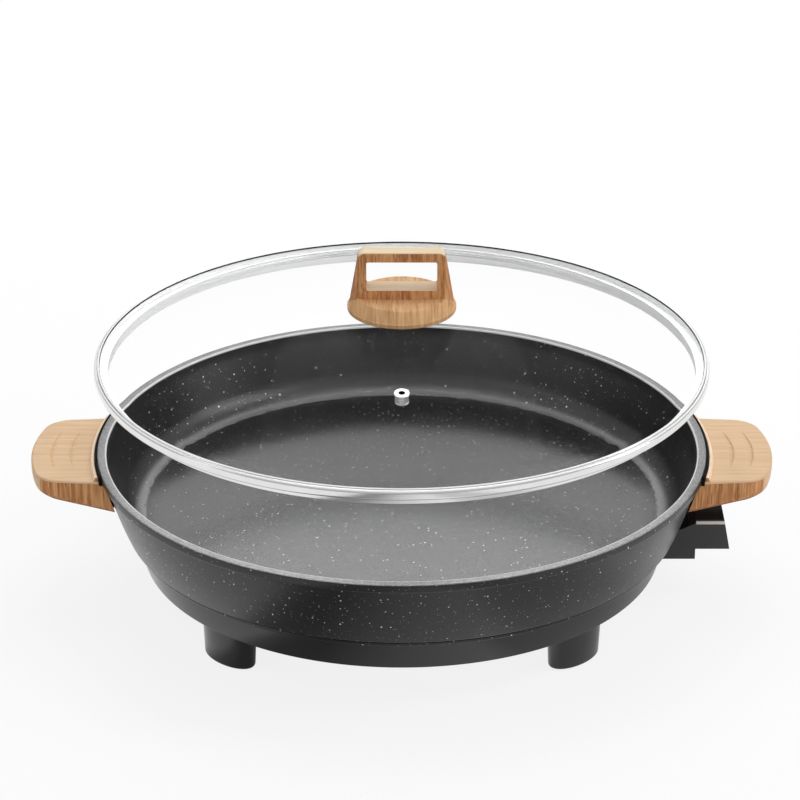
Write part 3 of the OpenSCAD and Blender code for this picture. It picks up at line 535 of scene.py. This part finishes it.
def shaped_grip(name):
    """The right-hand grip: sawn to its outline, tapered below, rounded over, fitted and grooved."""
    (root_w, tip_w, bow_r, corner) = (81.0, 74.0, 90.0, 9.0)
    bpy.ops.object.select_all(action="DESELECT")
    bpy.ops.mesh.primitive_plane_add(size=1, location=((grip_root + grip_tip) / 2 * MM, 0, grip_top * MM))
    piece = bpy.context.object
    piece.name = piece.data.name = name
    piece.scale = ((grip_tip - grip_root) * MM, root_w * MM, 1)
    fix_place(piece)
    pick_points(piece, lambda v: v.x > grip_tip - 1)
    bpy.ops.transform.resize(value=(1, tip_w / root_w, 1), center_override=(0, 0, 0))
    bpy.ops.mesh.bevel(offset=corner * MM, segments=12, affect="VERTICES")
    pick_edges(piece, lambda a, b: min(a.x, b.x) > grip_tip - 0.01)
    bpy.ops.mesh.subdivide(number_cuts=23)
    bpy.ops.object.mode_set(mode="OBJECT")
    for y in sorted({round(v.co.y / MM, 3) for v in piece.data.vertices if v.co.x > (grip_root + 1) * MM}):
        pick_points(piece, lambda v: abs(v.y - y) < 0.002 and v.x > grip_root + 1)
        bpy.ops.transform.translate(value=(-y * y / (2 * bow_r) * MM, 0, 0))
    bpy.ops.mesh.select_all(action="SELECT")
    bpy.ops.mesh.extrude_region_move(TRANSFORM_OT_translate={"value": (0, 0, -grip_deep * MM)})
    bpy.ops.mesh.select_all(action="SELECT")
    slope = 10 / (grip_tip - grip_root)
    bpy.ops.mesh.bisect(plane_co=(grip_root * MM, 0, (grip_top - grip_deep) * MM), plane_no=(-slope, 0, 1),
                        use_fill=True, clear_inner=True)
    bpy.ops.object.mode_set(mode="OBJECT")
    settle(piece)

    def below(v):
        """Whether a point lies on the sloping underside."""
        return abs(v.z - (grip_top - grip_deep) - slope * (v.x - grip_root)) < 0.02

    round_over(piece, 4.2, 7, lambda a, b: below(a) and below(b))
    round_over(piece, 1.0, 4, lambda a, b: min(a.z, b.z) > grip_top - 0.01)
    settle(piece)
    gap = 1.5
    (hole_r, hole_x, hole_top) = (3.6, 166.56, 65.7)
    room = [(60, 30), (corner_r + gap, pan_z), (wall_r + gap, lip_z - gap), (rim_r + gap, lip_z - gap),
            (rim_r + gap, 100), (60, 100)]
    cut(piece, turned("pan room", room, loop=True))
    ridge = [(161.6, 74.5), (161.6, 78.3)] + arc((161.9, 78.4), 0.3, 165, 90, 3)
    ridge += arc((162.7, 78.2), 0.5, 90, 15, 4)
    ridge += [(163.4, 77.4), (163.8, 76.8), (164.4, 76.4), (165, 74.5)]
    cut(piece, part_ring("ridge", ridge, 38.4), "UNION")
    for reach in (14.6, 24.8):
        cut(piece, finger_groove(rim_r + reach))
    for y in (-8, 8):
        hole = turned("screw hole", [(hole_r, 40), (hole_r, hole_top)], 40, floor=True, top=True)
        hole.location = (hole_x * MM, y * MM, 0)
        cut(piece, hole)
    settle(piece, 40)
    even_light(piece)
    return piece


def grain_group():
    """Straight grain: broad and fine lines drawn out by the run, and long lines from end to end."""
    takes = (("Place", "Vector"), ("Run", "Vector"))
    (group, start, end) = effect_group("straight grain", takes, ("Upright", "Fine", "Along"))
    drawn = stretched(group, start.outputs[0], start.outputs[1])
    lengthwise = stretched(group, start.outputs[0], (0.06, 1.0, 1.0))
    group.links.new(noise(group, drawn, 1.9, 4.0, 0.65), end.inputs[0])
    group.links.new(noise(group, drawn, 0.8, 3.0, 0.6), end.inputs[1])
    group.links.new(noise(group, lengthwise, 2.2, 4.0, 0.6), end.inputs[2])
    return group


straight_grain = grain_group()


def wood(name, side, pore, top, lie=(0.08, 0.22), ends=0.0, run=(1.0, 1.0, 0.05)):
    """Oiled straight-grained wood: warm upright grain on front and back, long grain on top in a paler tone
    of painted sheen.

    lie is the tilt at which a face counts as top, ends how far end faces look like the top, and run
    how the upright grain is drawn out."""
    (made, tree, face) = new_material(name)
    grain = add(tree, "ShaderNodeGroup", {"node_tree": straight_grain}, Place=place(tree), Run=run)
    (upright, fine, along) = grain.outputs
    facing = add(tree, "ShaderNodeSeparateXYZ", in0=add(tree, "ShaderNodeNewGeometry").outputs["Normal"])
    # Tops, and end faces as far as ends says, take the paler tone: painted sheen on the wood of the warm
    # sides.
    end = ramp(tree, sums(tree, "ABSOLUTE", facing.outputs[0]), 0.68, 0.76, 0.0, ends)
    level = sums(tree, "MAXIMUM", ramp(tree, facing.outputs[2], lie[0], lie[1]), end)
    warm = tint(tree, ramp(tree, upright, 0.34, 0.66), side[0], side[1])
    warm = tint(tree, ramp(tree, fine, 0.54, 0.66, 0.0, 0.75), warm, pore)
    pale = tint(tree, ramp(tree, along, 0.3, 0.7), top[0], top[1])
    # Faces turned down are darkened towards the pore colour: painted shade.
    painted_underside_shade = ramp(tree, facing.outputs[2], -0.75, -0.3, 0.85, 0.0)
    warm = tint(tree, painted_underside_shade, warm, pore)
    tree.links.new(tint(tree, level, warm, pale), face.inputs["Base Color"])
    tree.links.new(ramp(tree, fine, 0.3, 0.7, 0.5, 0.64), face.inputs["Roughness"])
    face.inputs["Specular IOR Level"].default_value = 0.2
    bump = add(tree, "ShaderNodeBump", Height=fine, Strength=0.1, Distance=0.0003)
    tree.links.new(bump.outputs[0], face.inputs["Normal"])
    return made


def dress_part(piece, material, test):
    """Gives another material to the faces whose middle, in millimetres, and normal pass a test."""
    piece.data.materials.append(material)
    for face in piece.data.polygons:
        if test(face.center / MM, face.normal):
            face.material_index = len(piece.data.materials) - 1


warm_side = ((0.45, 0.18, 0.065, 1), (0.74, 0.39, 0.165, 1))
dark_pore = (0.27, 0.09, 0.03, 1)
top_with_painted_sheen = ((0.64, 0.43, 0.255, 1), (0.72, 0.51, 0.325, 1))
grip_wood = wood("oiled grip wood", warm_side, dark_pore, top_with_painted_sheen, ends=1.0)
ridge_highlight_tones = ((0.88, 0.66, 0.47, 1), (0.94, 0.74, 0.55, 1))
ridge_painted_highlight = wood("pale bevelled wood", warm_side, dark_pore, ridge_highlight_tones, (0.1, 0.2), 1.0)
grip_right = shaped_grip("grip_right")
grip_left = copy_round(grip_right, "grip_left", 180)
for (piece, node) in ((grip_right, "handle_right"), (grip_left, "handle_left")):
    dress(piece, grip_wood)
    # The ridge's faces take the paler wood, a painted highlight on its crest.
    dress_part(piece, ridge_painted_highlight, lambda c, n: c.z > grip_top + 0.3)
    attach(piece, "cooker")
    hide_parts(node)

# A matt black heat guard fills the gap between each grip and the casting. It is a thin moulding
# pushed over the lug before the grip, and its lip stands up beside the pan's rim.
guard = moulding("matt black guard", grey(0.004), grey(0.006), 0.8, 0.9, shine=0.15)
for node in ("handle_spacer_left", "handle_spacer_right"):
    dress(cad[node], guard)
lip_line = [(160.2, 74.8), (161.3, 74.8)] + arc((160.95, 79.75), 0.35, 0, 90, 3)
lip_line += arc((160.55, 79.75), 0.35, 90, 180, 3)
lip_right = part_ring("guard_lip_right", lip_line, 40.2)
for lip in (lip_right, copy_round(lip_right, "guard_lip_left", 180)):
    dress(lip, guard)
    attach(lip, "cooker")

# The inlet is a heat-proof black moulding on the right: a neck out of the base, a bulkhead that
# carries the pins and the sleeve, and a shroud for the control's nose. Two screws hold its ears.
inlet_plastic = moulding("inlet plastic", grey(0.068), grey(0.088), 0.5, 0.6, shine=0.1)
tree = inlet_plastic.node_tree
surface = tree.nodes["Principled BSDF"]
# On the shroud the top front bevel is painted near white, a painted highlight, and the top darkens towards
# the front, a painted reflection.
facing = add(tree, "ShaderNodeSeparateXYZ", in0=add(tree, "ShaderNodeNewGeometry").outputs["Normal"])
across = sums(tree, "MULTIPLY", sums(tree, "ABSOLUTE", facing.outputs[1]), facing.outputs[2])
spot = add(tree, "ShaderNodeSeparateXYZ", in0=place(tree))
outer = ramp(tree, spot.outputs[0], 150 * MM, 153 * MM)
painted_bevel_highlight = sums(tree, "MULTIPLY", ramp(tree, across, 0.3, 0.42), outer)
painted_bevel_highlight = sums(tree, "MULTIPLY", painted_bevel_highlight, ramp(tree, spot.outputs[2], 43.7 * MM, 44 * MM, 1.0, 0.0))
plain = surface.inputs["Base Color"].links[0].from_socket
painted_top_reflection = tint(tree, ramp(tree, spot.outputs[1], -13 * MM, -3 * MM), grey(0.003), grey(0.035))
with_painted_top_reflection = tint(tree, ramp(tree, facing.outputs[2], 0.8, 0.95), plain, painted_top_reflection)
tree.links.new(tint(tree, painted_bevel_highlight, with_painted_top_reflection, grey(0.92)), surface.inputs["Base Color"])
dress(cad["inlet_shroud"], inlet_plastic)

# The lid's glass is a shallow tempered dome, clear, with a ground edge whose top outer rim is black, a
# painted dark reflection.
# It is pressed into the steel rim and bored for the knob and the steam vent.
seat_z, dome_r, apex_z, glass_t = 125.8, 466.3, 155.95, 4.0
dome_z = apex_z - dome_r


def dome(r, off):
    """Height of the dome at a radius, off millimetres over its top face."""
    return dome_z + math.sqrt((dome_r + off) ** 2 - r * r)


glass_top, glass_r, glass_low, edge_round = 130.55, 157.9, 126.65, 0.6
radii = [3.0] + [151.8 * i / 40 for i in range(1, 41)]
glass_line = (
    [(r, dome(r, -glass_t)) for r in radii if dome(r, -glass_t) > glass_low] + [(150.4, glass_low)]
    + arc((glass_r - edge_round, glass_low + edge_round), edge_round, -90, 0, 3)
    + arc((glass_r - edge_round, glass_top - edge_round), edge_round, 0, 90, 3)
    + [(r, dome(r, 0)) for r in reversed(radii)]
)
glass = turned("lid_dome", glass_line, loop=True)
vent_r, bore_r = 86, 3.7
vent_tilt = math.asin(vent_r / dome_r)


def at_vent(piece):
    """Moves a piece made on the axis to the vent's place on the glass, square to it."""
    piece.rotation_euler = (vent_tilt, 0, 0)
    piece.location = (0, 0, dome_z * MM)
    return fix_place(piece)


bore = turned("vent bore", [(bore_r, dome_r - 20), (bore_r, dome_r + 20)], 48, floor=True, top=True)
cut(glass, at_vent(bore))
settle(glass)
(clear, tree, surface) = new_material("clear tempered glass")
surface.inputs["Base Color"].default_value = (0.99, 0.995, 0.993, 1)
surface.inputs["Transmission Weight"].default_value = 1.0
surface.inputs["IOR"].default_value = 1.03
haze = noise(tree, place(tree), 60.0, 2.0)
tree.links.new(ramp(tree, haze, 0.4, 0.8, 0.0, 0.03), surface.inputs["Roughness"])
path = add(tree, "ShaderNodeLightPath")
open_air = add(tree, "ShaderNodeBsdfTransparent")
for_shadow = path.outputs["Is Shadow Ray"]
lit = add(tree, "ShaderNodeMixShader", in0=for_shadow, in1=surface.outputs[0], in2=open_air.outputs[0])
tree.links.new(lit.outputs[0], tree.nodes["Material Output"].inputs[0])
dress(glass, clear)
(ground, tree, surface) = new_material("ground glass edge")
grit = noise(tree, place(tree), 0.6, 4.0, 0.6)
tree.links.new(tint(tree, grit, (0.9, 0.92, 0.91, 1), (0.96, 0.97, 0.965, 1)), surface.inputs["Base Color"])
surface.inputs["Roughness"].default_value = 0.5
dress_part(glass, ground, lambda c, n: math.hypot(c.x, c.y) > 156.9)
# The glass's top outer rim is black: a painted dark reflection.
black_painted_reflection = moulding("black painted reflection", grey(0.004), grey(0.007), 0.5, 0.6)
dress_part(glass, black_painted_reflection, lambda c, n: math.hypot(c.x, c.y) > 157.2 and c.z > 129.0)
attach(glass, "lid")
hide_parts("lid_glass")

# The lid's rim is rolled from bright steel strip: a bead round the glass's edge with a fine
# groove under its top roll, and a flange that hangs inside the pan's mouth.
bead_r, skirt_r, bead_top = 159.8, 153.5, 131.4
rim_line = (
    [(skirt_r - 0.7, seat_z - 4.5), (skirt_r - 0.1, seat_z - 4.5), (skirt_r, seat_z - 4.3)]
    + [(skirt_r, seat_z - 0.4), (skirt_r + 0.3, seat_z)] + arc((bead_r - 1.4, seat_z + 1.4), 1.4, -90, 0, 8)
    + arc((bead_r - 1.3, bead_top - 2.0), 1.3, 0, 90, 8) + [(bead_r - 1.6, bead_top - 1.1)]
    + arc((bead_r - 2.2, bead_top - 0.45), 0.45, 0, 90, 5)
    + arc((bead_r - 2.8, bead_top - 0.3), 0.3, 90, 180, 4)
    + [(bead_r - 3.1, bead_top - 0.8)] + arc((bead_r - 1.3, bead_top - 2.0), 0.6, 90, 0, 3)
    + arc((bead_r - 1.4, seat_z + 1.4), 0.7, 0, -90, 4) + [(skirt_r - 0.7, seat_z + 0.7)]
)
steel_rim = turned("steel_rim", rim_line, loop=True)
dress(steel_rim, metal("polished steel strip", grey(0.74), grey(0.82), 0.14, 0.22))
# The strip's inside, the top of its roll and the glass's seat are painted a matt near white: a painted
# reflection of the white surround.
(satin, tree, surface) = new_material("strip's painted white reflection")
marks = add(tree, "ShaderNodeGroup", {"node_tree": handling}, Place=place(tree))
tree.links.new(tint(tree, marks.outputs[1], grey(0.9), grey(0.96)), surface.inputs["Base Color"])
tree.links.new(ramp(tree, marks.outputs[0], 0.3, 0.7, 0.35, 0.5), surface.inputs["Roughness"])


def inward(c, n):
    """How far a face of the rim looks towards the lid's middle."""
    return -(n.x * c.x + n.y * c.y) / math.hypot(c.x, c.y)


def painted_reflection_face(c, n):
    """Whether a face takes the painted white reflection: inside, on top of the roll, or on the glass's
    seat.
    """
    inside = inward(c, n) > 0.5 and c.z < bead_top - 1
    top = n.z > 0.7 and c.z > bead_top - 1.2
    seat = n.z > 0.5 and math.hypot(c.x, c.y) < bead_r - 2 and c.z < bead_top - 1
    return inside or top or seat


dress_part(steel_rim, satin, painted_reflection_face)
# A black line on the inward top of the roll is a painted dark reflection.
dress_part(steel_rim, black_painted_reflection, lambda c, n: inward(c, n) > 0.12 and c.z > bead_top - 0.9)
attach(steel_rim, "lid")
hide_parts("lid_rim")

# The steam vent is a small bright steel eyelet, put through a bore in the glass
# and rolled over both of its faces.
eyelet_line = (
    [(1.5, -4.9), (3.4, -4.9), (3.6, -4.7), (3.6, -4.3), (3.5, -4.2), (3.5, 0.1)]
    + arc((3.6, 0.45), 0.35, -90, 0, 3) + arc((3.5, 0.55), 0.45, 0, 90, 5)
    + arc((2.0, 0.5), 0.5, 90, 180, 5)
)
eyelet = turned("steam_eyelet", [(r, dome_r + z) for (r, z) in eyelet_line], 64, loop=True)
dress(eyelet, metal("bright eyelet", grey(0.8), grey(0.88), 0.26, 0.34))
# The bore's inside is black gloss: painted shade down the hole.
dress_part(eyelet, black_gloss, lambda c, n: math.hypot(c.x, c.y) < 1.7)
at_vent(eyelet)
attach(eyelet, "lid")
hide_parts("vent_eyelet")

# The knob is cut from the grips' wood: a round foot with a bridge on it that is pierced for the
# fingers. A black gasket beds it on the glass, and a screw through seal and washer holds it.
knob_z, knob_h, knob_foot_h, knob_r = 157.55, 32.5, 8.2, 28.2
knob_line = (
    arc((knob_r - 0.8, knob_z + 0.8), 0.8, -90, 0, 5)
    + [(knob_r, knob_z + 2.3), (knob_r - 0.4, knob_z + 2.7)]
    + wall_line((knob_r - 0.45, knob_z + 2.75), (24.1, knob_z + 7.6), 0.15, 6)
    + [(23.85, knob_z + 7.9), (23.4, knob_z + 8.1), (22.8, knob_z + 8.15)]
    + [(21, knob_z + 7.75), (12, knob_z + 7.6)]
)
knob = turned("bridge_knob", knob_line, 160, floor=True, top=True)
half_w, half_t = 25.53, 7.48
bridge = block("bridge", (-half_w, -half_t, knob_z + 1.89), (half_w, half_t, knob_z + knob_h))
bare_edit(bridge)
bpy.ops.mesh.select_all(action="SELECT")
bpy.ops.mesh.bisect(plane_co=(0, 0, (knob_z + knob_foot_h) * MM), plane_no=(0, 0, 1))
for y in (-0.8, 0.8):
    bpy.ops.mesh.select_all(action="SELECT")
    bpy.ops.mesh.bisect(plane_co=(0, y * MM, 0), plane_no=(0, 1, 0))
bpy.ops.object.mode_set(mode="OBJECT")
levels = ((0, 3, half_w, 27.43, half_t), (7, 9, 22.93, 26.36, 6.83), (30, 34, 22.2, 22.2, 4.3))
for (low, high, flat, ridge, thick) in levels:
    pick_points(bridge, lambda v: low < v.z - knob_z < high and abs(v.y) > 1)
    bpy.ops.transform.resize(value=(flat / half_w, thick / half_t, 1), center_override=(0, 0, 0))
    pick_points(bridge, lambda v: low < v.z - knob_z < high and abs(v.y) < 1)
    bpy.ops.transform.resize(value=(ridge / half_w, 1, 1), center_override=(0, 0, 0))
bpy.ops.object.mode_set(mode="OBJECT")
round_over(bridge, 3, 8, lambda a, b: min(a.z, b.z) > knob_z + knob_h - 0.1 and abs(a.x - b.x) < 0.1)


def on_flank(v):
    """Whether a point lies on the front or back of the bridge, over the foot."""
    return abs(v.y) > 4.2 and v.z > knob_z + 8.1


round_over(bridge, 0.9, 4, lambda a, b: on_flank(a) and on_flank(b) and max(a.z, b.z) > knob_z + 9)
window_half, window_low, window_top = 18.3, knob_z + 12.4, knob_z + 27.4
window = block("window", (-window_half, -12, window_low), (window_half, 12, window_top))
round_over(window, 1.1, 5, lambda a, b: abs(a.y - b.y) > 1)
cut(bridge, window)
cut(knob, bridge, "UNION")
hole_r, hole_top = 2.15, knob_z + 10.4
cut(knob, turned("screw hole", [(hole_r, knob_z - 5), (hole_r, hole_top)], 32, floor=True, top=True))
settle(knob)
even_light(knob)
knob_top_with_painted_sheen = ((0.76, 0.6, 0.4, 1), (0.84, 0.68, 0.47, 1))
dress(knob, wood("oiled knob wood", warm_side, dark_pore, knob_top_with_painted_sheen, (0.3, 0.6)))
foot_side = ((0.6, 0.34, 0.155, 1), (0.76, 0.46, 0.235, 1))
foot_top = ((0.74, 0.5, 0.29, 1), (0.82, 0.59, 0.38, 1))
foot_pore = (0.46, 0.22, 0.085, 1)
foot_wood = wood("oiled foot wood", foot_side, foot_pore, foot_top, (1.2, 1.4), run=(1.0, 0.06, 0.06))
dress_part(knob, foot_wood, lambda c, n: c.z < knob_z + 2.8 or (n.z > 0.4 and c.z < knob_z + 8.6))
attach(knob, "lid")
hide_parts("lid_knob")
dress(cad["knob_gasket"], moulding("gasket rubber", grey(0.012), grey(0.018), 0.6, 0.7))
dress(cad["lid_seal"], moulding("pale silicone", grey(0.6), grey(0.68), 0.5, 0.6))

# The studio is a pale floor that keeps a soft shadow, a white surround that is dimmer at the back,
# one broad lamp overhead that fades at its far end, and a soft strip on each side. In mirrors the
# floor is white at most, and darker where cards would lie in front of the pan.
bpy.ops.object.select_all(action="DESELECT")
bpy.ops.mesh.primitive_plane_add(size=12, location=(0, 0, -0.0002))
floor = bpy.context.object
floor.name = "floor"
(pale, tree, surface) = new_material("pale floor")
surface.inputs["Base Color"].default_value = grey(0.9)
surface.inputs["Roughness"].default_value = 0.9
path = add(tree, "ShaderNodeLightPath")
plain = sums(tree, "MAXIMUM", path.outputs["Is Camera Ray"], path.outputs["Is Transmission Ray"])
mirrored = path.outputs["Is Glossy Ray"]
spot = add(tree, "ShaderNodeSeparateXYZ", in0=place(tree))
span = 0.5
across = sums(tree, "MULTIPLY_ADD", spot.outputs[0], 1 / span, 0.5)
cards = add(tree, "ShaderNodeValToRGB", in0=across)
stops = cards.color_ramp.elements
stops.remove(stops[1])
tones = ((-0.11, 1.0), (-0.1, 0.45), (-0.085, 0.25), (-0.06, 0.25), (0.0, 0.72), (0.06, 1.0))
tones += ((0.082, 0.65), (0.15, 0.65), (0.18, 1.0))
for (x, bright) in tones:
    stop = stops.new(x / span + 0.5)
    stop.color = grey(bright)
stops[0].color = grey(1.0)
sheen = sums(tree, "MULTIPLY", cards.outputs[0], ramp(tree, spot.outputs[1], -0.75, -0.5, 0.25, 1.0))
seen = sums(tree, "MAXIMUM", sums(tree, "MULTIPLY", plain, 0.84), mirrored)
level = sums(tree, "MAXIMUM", plain, sums(tree, "MULTIPLY", mirrored, sheen))
glow = add(tree, "ShaderNodeEmission", Color=grey(1.0), Strength=level)
mixed = add(tree, "ShaderNodeMixShader", in0=seen, in1=surface.outputs[0], in2=glow.outputs[0])
tree.links.new(mixed.outputs[0], tree.nodes["Material Output"].inputs[0])
dress(floor, pale)

world = bpy.data.worlds.new("white surround")
bpy.context.scene.world = world
world.use_nodes = True
tree = world.node_tree
path = add(tree, "ShaderNodeLightPath")
way = add(tree, "ShaderNodeSeparateXYZ", in0=add(tree, "ShaderNodeTexCoord").outputs["Generated"])
behind = ramp(tree, way.outputs[1], -0.8, 0.8, 0.6, 0.42)
plain = sums(tree, "MAXIMUM", path.outputs["Is Camera Ray"], path.outputs["Is Transmission Ray"])
tree.links.new(sums(tree, "MAXIMUM", behind, plain), tree.nodes["Background"].inputs["Strength"])
tree.nodes["Background"].inputs["Color"].default_value = grey(1.0)


def softbox(name, spot, aim, size, power):
    """A rectangular soft lamp at a spot in metres, turned to its aim."""
    lamp = bpy.data.lights.new(name, "AREA")
    lamp.shape = "RECTANGLE"
    (lamp.size, lamp.size_y) = size
    lamp.energy = power
    stand = bpy.data.objects.new(name, lamp)
    bpy.context.scene.collection.objects.link(stand)
    stand.location = spot
    stand.rotation_euler = (Vector(aim) - Vector(spot)).to_track_quat("-Z", "Y").to_euler()


softbox("overhead lamp", (0, 1.18, 1.25), (0, 1.18, 0), (0.8, 2.16), 14.4)
for (back, power) in ((2.32, 0.66), (2.44, 0.45), (2.56, 0.22)):
    softbox("overhead lamp's fading end", (0, back, 1.25), (0, back, 0), (0.8, 0.12), power)
softbox("left strip", (-1.3, -0.4, 0.6), (0, 0, 0.08), (0.3, 1.2), 0.8)
softbox("right strip", (1.3, -0.1, 0.8), (0, 0, 0.08), (0.3, 1.2), 6.5)

# The camera looks down on the pan from the front, with a long lens.
# Its place and lens follow the photograph's rim, lid and base.
lens = bpy.data.cameras.new("camera")
lens.sensor_width = 36.0
lens.lens = 144.41
eye = bpy.data.objects.new("camera", lens)
bpy.context.scene.collection.objects.link(eye)
eye.location = (-0.0009, -1.52642, 0.8091)
eye.rotation_euler = (math.radians(65.2452), 0, 0)
bpy.context.scene.camera = eye
bpy.context.scene.view_settings.view_transform = "Standard"
